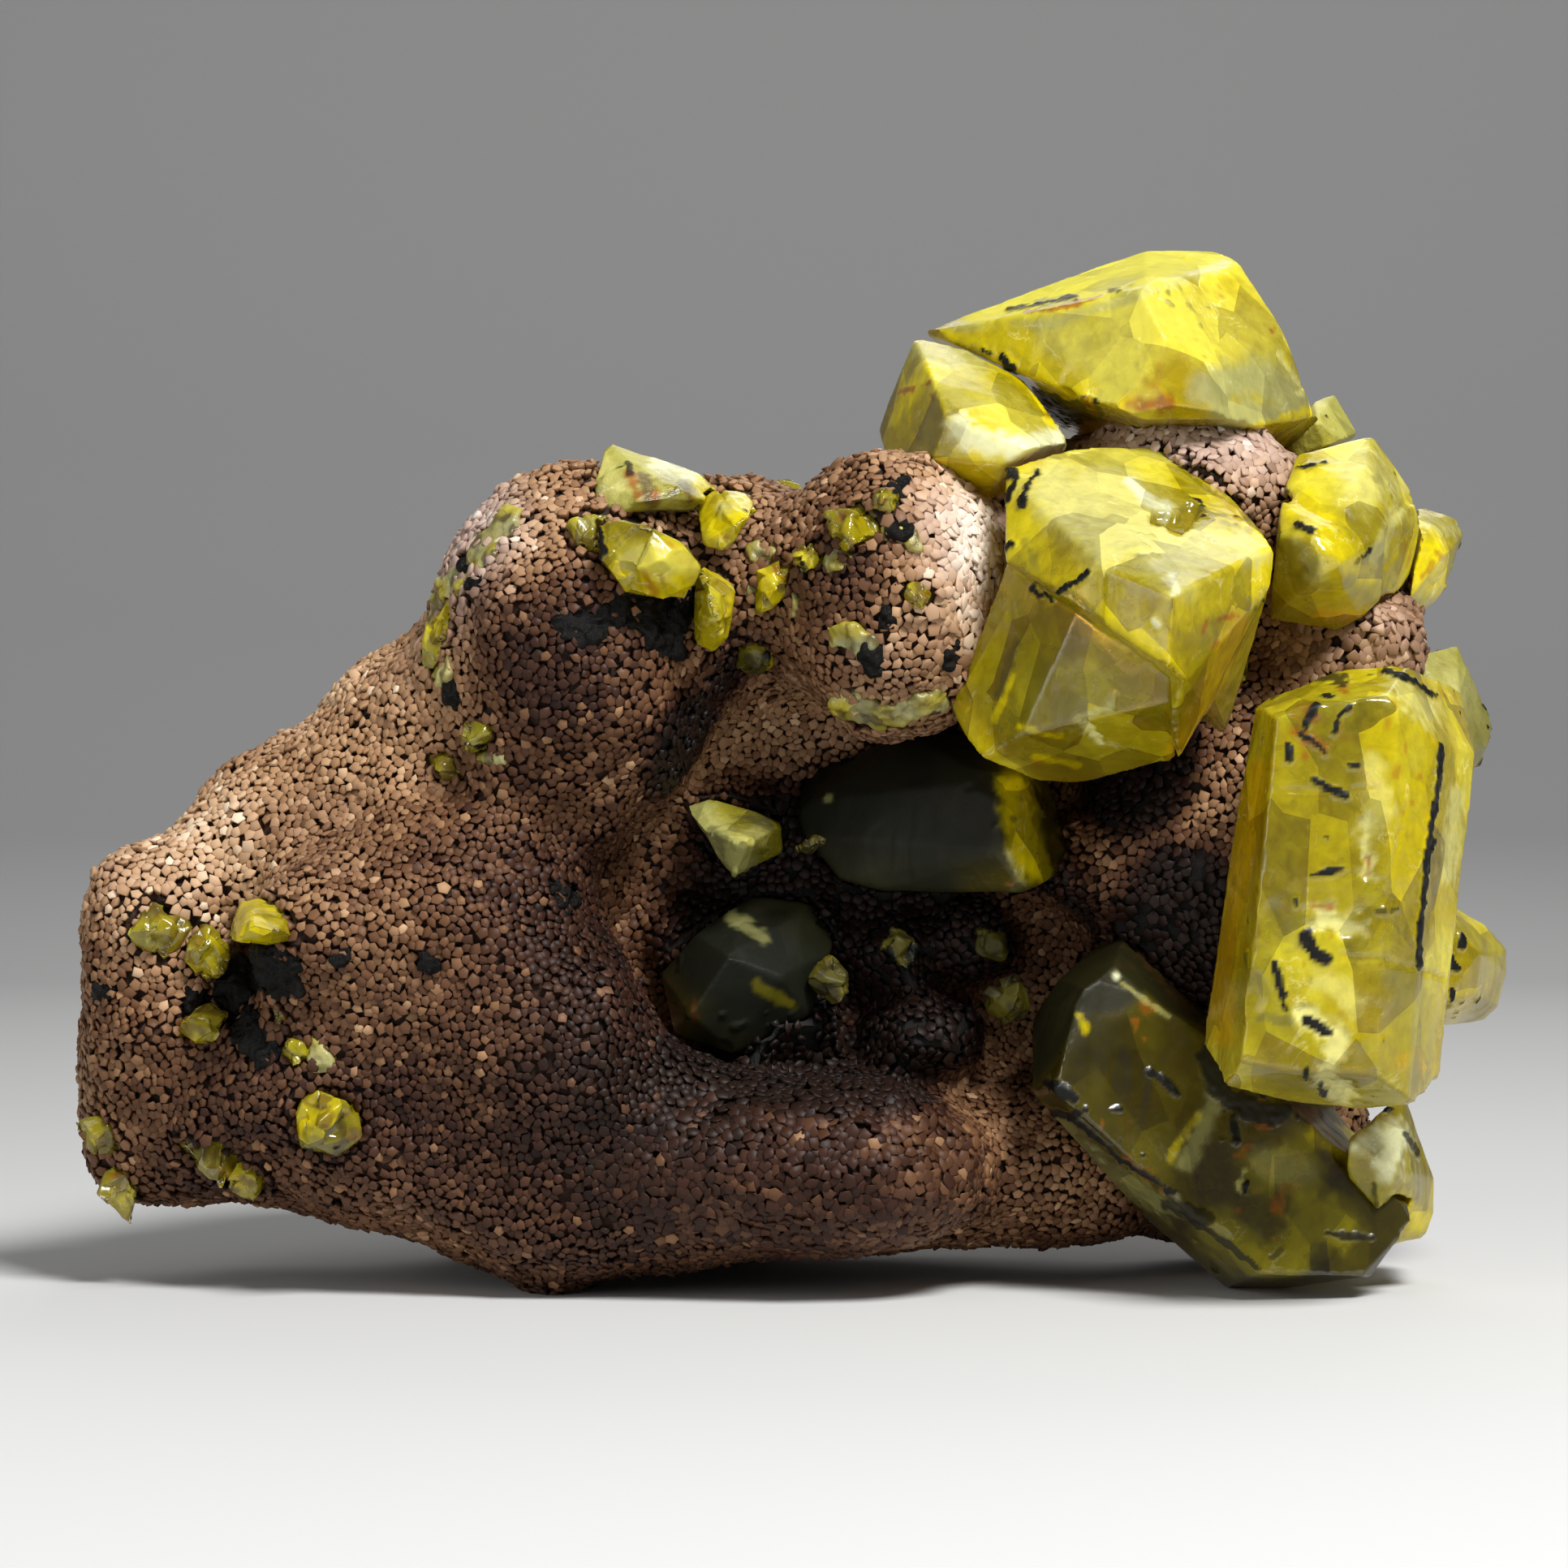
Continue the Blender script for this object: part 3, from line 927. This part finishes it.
# Colour of the clean body and its pale veils, share of veils, depth of the clear part and
# roughness of the skin, for each look of sulfur
looks_of = {
    "sulfur": ((0.56, 0.44, 0.001), (0.64, 0.56, 0.04), 0.64, 0.004, 0.14),
    "sulfur_amber": ((0.070, 0.055, 0.003), (0.13, 0.108, 0.010), 0.60, 0.003, 0.14),
    "sulfur_frosted": ((0.36, 0.33, 0.05), (0.48, 0.45, 0.16), 0.90, 0.005, 0.42),
}


def painted(mesh, points, colour, hides, skin):
    """The mesh with its points moved and its colour, share of veils and roughness at each point.
    Nothing goes below the floor."""
    points[:, 2] = np.maximum(points[:, 2], 0)
    mesh.vertices.foreach_set("co", points.ravel())
    mesh.shade_smooth()
    rgba = np.column_stack([colour, np.ones(len(points))])
    tint = mesh.color_attributes.new("tint", "FLOAT_COLOR", "POINT")
    tint.data.foreach_set("color", rgba.ravel())
    mesh.attributes.new("hides", "FLOAT", "POINT").data.foreach_set("value", hides)
    mesh.attributes.new("skin", "FLOAT", "POINT").data.foreach_set("value", skin)
    return mesh


SMALL, LARGE = 11 * MM, 20 * MM        # up to SMALL a crystal is broken up, from LARGE it is whole
FINEST, COARSEST = 0.14 * MM, 0.34 * MM                # size of a crystal's quads
MANY_MARKS = 20                        # crystals with more marks than this have a finer mesh


def moved(mesh, points):
    """Puts the points into the mesh and gives the normals that they make."""
    mesh.vertices.foreach_set("co", points.ravel())
    mesh.update()
    return array_of(mesh.vertices, "normal", 3)


def sticking_out(pairs, points, normals, times):
    """How far each point stands out, along its normal, from the mean of those round it."""
    mean = np.stack([spread_out(pairs, points[:, axis], times) for axis in range(3)], axis=1)
    return np.einsum("ij,ij->i", points - mean, normals)


def faceted(points, size, small, own):
    """Worn facets: each is a plane that faces a random way, a little inside the farthest point, and
    the points beyond it are pressed back onto it."""
    middle = points.mean(0)
    for facing in own.normal(size=(int(8 + 10 * small), 3)):
        facing /= np.linalg.norm(facing)
        reach = (points - middle) @ facing
        top = reach.max() - size * own.uniform(0.004, 0.018 + 0.05 * small)
        points = points - np.maximum(reach - top, 0)[:, None] * facing
    return points


def scooped(points, normals, corner, size, small, own):
    """Chipped corners: six balls, each by a corner, push the points in them out onto their skin."""
    for _ in range(6):
        at = points[own.choice(corner)]
        out = normals[np.argmin(np.linalg.norm(points - at, axis=1))]
        ball = size * own.uniform(0.04, 0.12 + 0.04 * small)
        centre = at + out * ball * own.uniform(0.82, 0.96)
        away = points - centre
        far = np.linalg.norm(away, axis=1)
        points = np.where((far < ball)[:, None], centre + away * (ball / far)[:, None], points)
    return points


def clefts(points, own):
    """Splinters grown side by side: the height in mm of a tilted plane round each of 16 seeds."""
    seeds = points[own.choice(len(points), 16)]
    nearest_to = np.argmin([np.linalg.norm(points - at, axis=1) for at in seeds], axis=0)
    tilt, depth = own.normal(0, 0.5, (len(seeds), 3)), own.uniform(0, 0.3, len(seeds))
    cleft = np.einsum("ij,ij->i", points - seeds[nearest_to], tilt[nearest_to]) / MM
    return np.clip(cleft - depth[nearest_to], -0.55, 0.05)


def grown_crystal(name, slot, seed):
    """A crystal's mesh with worn facets, chips, growth steps and marks. Crystals with many marks
    have a finer mesh, and the smaller a crystal is, the more it is broken up."""
    mesh = merged_copy(name)
    points = array_of(mesh.vertices, "co", 3)
    size = (points.max(0) - points.min(0)).max()
    small = 1 - ramp(np.array(size), SMALL, LARGE)
    steps_across = 130 if len(marks.get(name, [])) > MANY_MARKS else 91
    voxel = np.clip(size / steps_across, FINEST, COARSEST)
    mesh = finished(mesh, ("REMESH", {"mode": "VOXEL", "voxel_size": voxel}),
                    ("SMOOTH", {"factor": 0.5, "iterations": 2}))
    pairs = array_of(mesh.edges, "vertices", 2, np.int32)
    own = np.random.default_rng(seed)

    points = faceted(array_of(mesh.vertices, "co", 3), size, small, own)
    normals = moved(mesh, points)
    corner = np.flatnonzero(sticking_out(pairs, points, normals, 3) > 0.12 * voxel)
    points = scooped(points, normals, corner, size, small, own)
    normals = moved(mesh, points)

    # How far each point is raised in mm: waves, growth steps, chips on the edges, clefts
    edge = spread_out(pairs, sticking_out(pairs, points, normals, 1) / voxel, 4)
    crumbs = noise(points, 1.1 * MM, seed) + 0.5 * noise(points, 0.5 * MM, seed + 1)
    chips = ramp(edge, 0.03, 0.12) * ramp(crumbs, 0.15, 0.75)
    wave = noise(points, 3.5 * MM, seed + 2) * 0.05 + noise(points, 1.3 * MM, seed + 3) * 0.02
    steps = noise(points * [1.0, 1.0, 0.4], 4 * MM, seed + 4) * 1.8
    steps = (np.floor(steps) + ramp(steps - np.floor(steps), 0.75, 1.0)) * 0.05
    rise = wave + steps - chips * (0.45 - 0.25 * small)
    rise += small * (clefts(points, own) + 0.05 * noise(points, 0.7 * MM, seed + 14))

    body, pale, veils, _, rough = looks_of[slot]
    veil = noise(points, 6 * MM, seed + 5) + 0.5 * noise(points, 2.4 * MM, seed + 6)
    veil = ramp(veil, -0.3, 0.9)
    veil = np.clip(veil * 0.7 + 0.2 * ramp(normals[:, 2], 0.2, 0.9), 0, 1)
    colour = np.array(body) + (np.array(pale) - body) * veil[:, None]
    hides = np.clip(veils + 0.30 * (veil - 0.4), 0, 1)
    skin = np.full(len(points), rough)

    def lay(kind, weight):
        """Lays a kind of mark over the crystal, by its weight at each point."""
        nonlocal colour, hides, skin, rise
        tint, solid, gloss, height, _ = kinds[kind]
        colour = colour + (np.array(tint) - colour) * weight[:, None]
        hides = hides + (solid - hides) * weight
        skin = skin + (gloss - skin) * weight
        grit = 1 + (noise(points, 0.45 * MM, seed + 9) if kind in ("flake", "tar") else 0)
        rise = rise + height * weight * grit

    lay("white", chips * 0.55)
    lay("olive", small * 0.7 * ramp(noise(points, 2.2 * MM, seed + 7), -0.5, 0.4))
    dirt = noise(points, 1.5 * MM, seed + 8) + 0.5 * noise(points, 0.6 * MM, seed + 15)
    lay("umber", small * 0.75 * ramp(dirt, -0.1, 0.6))
    scatter = noise(points, 0.8 * MM, seed + 10) + 0.6 * noise(points, 5 * MM, seed + 11)
    lay("rust", ramp(scatter, 0.75 - 0.25 * small, 1.0) * 0.6)
    specks = noise(points, 1.0 * MM, seed + 12) + 0.7 * noise(points, 6 * MM, seed + 13)
    lay("tar", ramp(specks, 0.98 - 0.2 * small, 1.1 - 0.2 * small))
    lay("soot", 0.85 * ramp(in_hollow(points), 0.25, 0.8))
    seen = front_view(points)
    facing = ramp(-normals[:, 1], -0.15, 0.15)
    for kind, width, strength, path in marks.get(name, []):
        ragged = kinds[kind][4] * (0.3 + 0.6 * min(width, 1.5))
        fray = noise(points, max(0.8, width / 2) * MM, seed + 20)
        fray += 0.6 * noise(points, 0.5 * MM, seed + 21)
        gap = from_path(seen, path) + fray * ragged
        soft = 0.25 if kind in ("tar", "groove", "pit") else 0.7
        inside = 1 - ramp(gap, width * (1 - soft), width * (1 + 0.3 * soft) + 0.1)
        lay(kind, inside * strength * facing)

    return painted(mesh, points + normals * (rise * MM)[:, None], colour, hides, skin)


def sulfur(name, depth, grain):
    """Clear sulfur mixed with the veils and marks laid on each crystal: depth is how far light goes
    before the blue is swallowed, grain how strongly the skin is frosted."""
    place, use = new_material(name)
    tint = place.node("Attribute", {"attribute_name": "tint"})
    hides = place.node("Attribute", {"attribute_name": "hides"}, output=2)
    skin = place.node("Attribute", {"attribute_name": "skin"}, output=2)
    fine = place.cloud(0.0016, 6, 0.65, 0.4)
    streaks = place.cloud(0.0009, 5, 0.7, 0.0, (1.0, 1.0, 0.22))
    frost = place.cloud(0.0005, 4, 0.6)
    bump = place.node("Bump", None, {
        "Strength": 0.5, "Distance": 0.00012 + 0.0002 * grain,
        "Height": fine * 0.5 + streaks * 0.35 + frost * (0.15 + grain)})
    tilted = place.node("Mapping", None, {
        "Vector": place, "Rotation": (0.5, 0.35, 0.2), "Scale": (1.0, 1.0, 0.6)})
    pane = tilted.node("TexVoronoi", None, {"Vector": tilted, "Scale": 1 / 0.0052}, output="Color")
    pane = pane.node("SeparateXYZ", None, {0: pane})
    apart = place.cloud(0.008, 5, 0.6, 1.2) - 0.5
    cracks = 1 - apart.math("ABSOLUTE", apart).rise(0.002, 0.014)
    clouded = tint.node("HueSaturation", None, {
        "Value": fine * 0.5 + pane * 0.36 + 0.55, "Color": tint})
    flakes = cracks * place.cloud(0.004, 3).rise(0.52, 0.64) * 0.6
    clouded = flakes.blend(clouded, clouded.node("HueSaturation", None, {
        "Value": 1.5, "Saturation": 0.72, "Color": clouded}))
    specks = streaks.rise(0.70, 0.76)
    clear = place.node("BsdfPrincipled", None, {
        "Base Color": (1.0, 1.0, 1.0), "Roughness": skin, "IOR": 1.96,
        "Specular IOR Level": 0.35, "Transmission Weight": 1.0, "Normal": bump})
    milky = place.node("BsdfPrincipled", None, {
        "Base Color": (specks * 0.8).blend(clouded, (0.10, 0.05, 0.006)),
        "Roughness": skin, "IOR": 1.6, "Specular IOR Level": 0.2, "Normal": bump})
    volume = place.node("VolumeAbsorption", None, {
        "Color": (1.0, 0.90, 0.02), "Density": 1 / depth})
    share = hides + (fine - 0.5) * 0.5 + (pane - 0.5) * 0.4
    return use(place.node("MixShader", None, {0: share, 1: clear, 2: milky}), volume)


looks = {slot: sulfur(slot, given[3], 0.7 if slot == "sulfur_frosted" else 0.0)
         for slot, given in looks_of.items()}
slots = {part["node"]: part["material_slot"] for part in frame["record"]["subparts"]}
SEEDS_EACH = 40                        # more than the seeds of noise that one crystal uses
for number, name in enumerate(crystal_nodes):
    if slots[name] == "bitumen":
        lump = finished(merged_copy(name), ("REMESH", {"mode": "VOXEL", "voxel_size": 0.2 * MM}))
        at, out = array_of(lump.vertices, "co", 3), array_of(lump.vertices, "normal", 3)
        uneven = noise(at, 1.4 * MM, 51) * 0.5 + noise(at, 0.6 * MM, 52) * 0.25 - 0.3
        lump.vertices.foreach_set("co", (at + out * (uneven * MM)[:, None]).ravel())
        shown("bitumen_on_the_left", lump, bitumen_look, "bitumen", name)
    else:
        mesh = grown_crystal(name, slots[name], number * SEEDS_EACH)
        shown("clear_" + name, mesh, looks[slots[name]], slots[name], name)

# The thin skins of frosted sulfur are stained where dirt lies on them
skins = patch(crust_paths, 1.2 * MM, 0.25 * MM)
at, out = array_of(skins.vertices, "co", 3), array_of(skins.vertices, "normal", 3)
uneven = noise(at, 1.2 * MM, 84) * 0.32 + noise(at, 0.5 * MM, 85) * 0.14
veils = looks_of["sulfur_frosted"][2]
warm = ramp(noise(at, 1.8 * MM, 86), -0.4, 0.5)[:, None]
dirty = 0.8 * ramp(noise(at, 1.1 * MM, 87) + 0.5 * noise(at, 0.5 * MM, 88), 0.0, 0.5)[:, None]
shade = np.array([0.44, 0.41, 0.17]) * (1 - warm) + np.array([0.46, 0.38, 0.04]) * warm
shade = shade * (1 - dirty) + np.array([0.09, 0.055, 0.018]) * dirty
painted(skins, at + out * (uneven * MM)[:, None], shade,
        np.full(len(at), veils), np.full(len(at), 0.3))
shown("sulfur_skins", skins, looks["sulfur_frosted"], "sulfur_frosted")

# ---- Floor, light and camera ----
# A pale sweep under soft light from the upper right, seen level from the front through a long
# lens. All measures are in metres.

floor_profile = [(-1.6, 0.0), (0.6, 0.0), (0.9, 0.03), (1.1, 0.16), (1.2, 0.4), (1.22, 1.6)]
half_wide = 1.8
sweep = np.array([(side * half_wide, y, z) for y, z in floor_profile for side in (-1, 1)])
sweep_faces = [(2 * i, 2 * i + 1, 2 * i + 3, 2 * i + 2) for i in range(len(floor_profile) - 1)]
mesh = bpy.data.meshes.new("floor")
mesh.from_pydata(sweep.tolist(), [], sweep_faces)
mesh.shade_smooth()
place, use = new_material("paper")
mesh.materials.append(use(place.node("BsdfPrincipled", None, {
    "Base Color": (0.62, 0.62, 0.61), "Roughness": 0.9})))
floor = bpy.data.objects.new("floor", mesh)
bpy.context.scene.collection.objects.link(floor)

lights = {                 # where each light stands and looks, its size and power
    "key": ((0.24, -0.42, 0.58), (0.01, 0.0, 0.06), 0.22, 7.4),
    "fill": ((-0.60, -0.50, 0.30), (0.0, 0.0, 0.04), 0.50, 1.3),
    "back": ((0.10, 0.55, 0.55), (0.0, 0.0, 0.06), 0.40, 0.9),
}
for name, (stand, aim, size, power) in lights.items():
    lamp = bpy.data.lights.new(name, "AREA")
    lamp.size, lamp.energy = size, power
    light_object = bpy.data.objects.new(name, lamp)
    light_object.location = stand
    direction = np.array(aim) - np.array(stand)
    light_object.rotation_euler = Vector(direction).to_track_quat("-Z", "Y").to_euler()
    bpy.context.scene.collection.objects.link(light_object)

world = bpy.data.worlds.new("room")
world.use_nodes = True
world.node_tree.nodes["Background"].inputs["Color"].default_value = (0.8, 0.82, 0.85, 1)
world.node_tree.nodes["Background"].inputs["Strength"].default_value = 0.15
bpy.context.scene.world = world

camera = bpy.data.objects.new("camera", bpy.data.cameras.new("camera"))
camera.data.lens, camera.data.sensor_width = 99.38, 36.0
camera.location = camera_at
camera.rotation_euler = (np.pi / 2, 0, 0)
bpy.context.scene.collection.objects.link(camera)
bpy.context.scene.camera = camera
bpy.context.scene.view_settings.view_transform = "Standard"
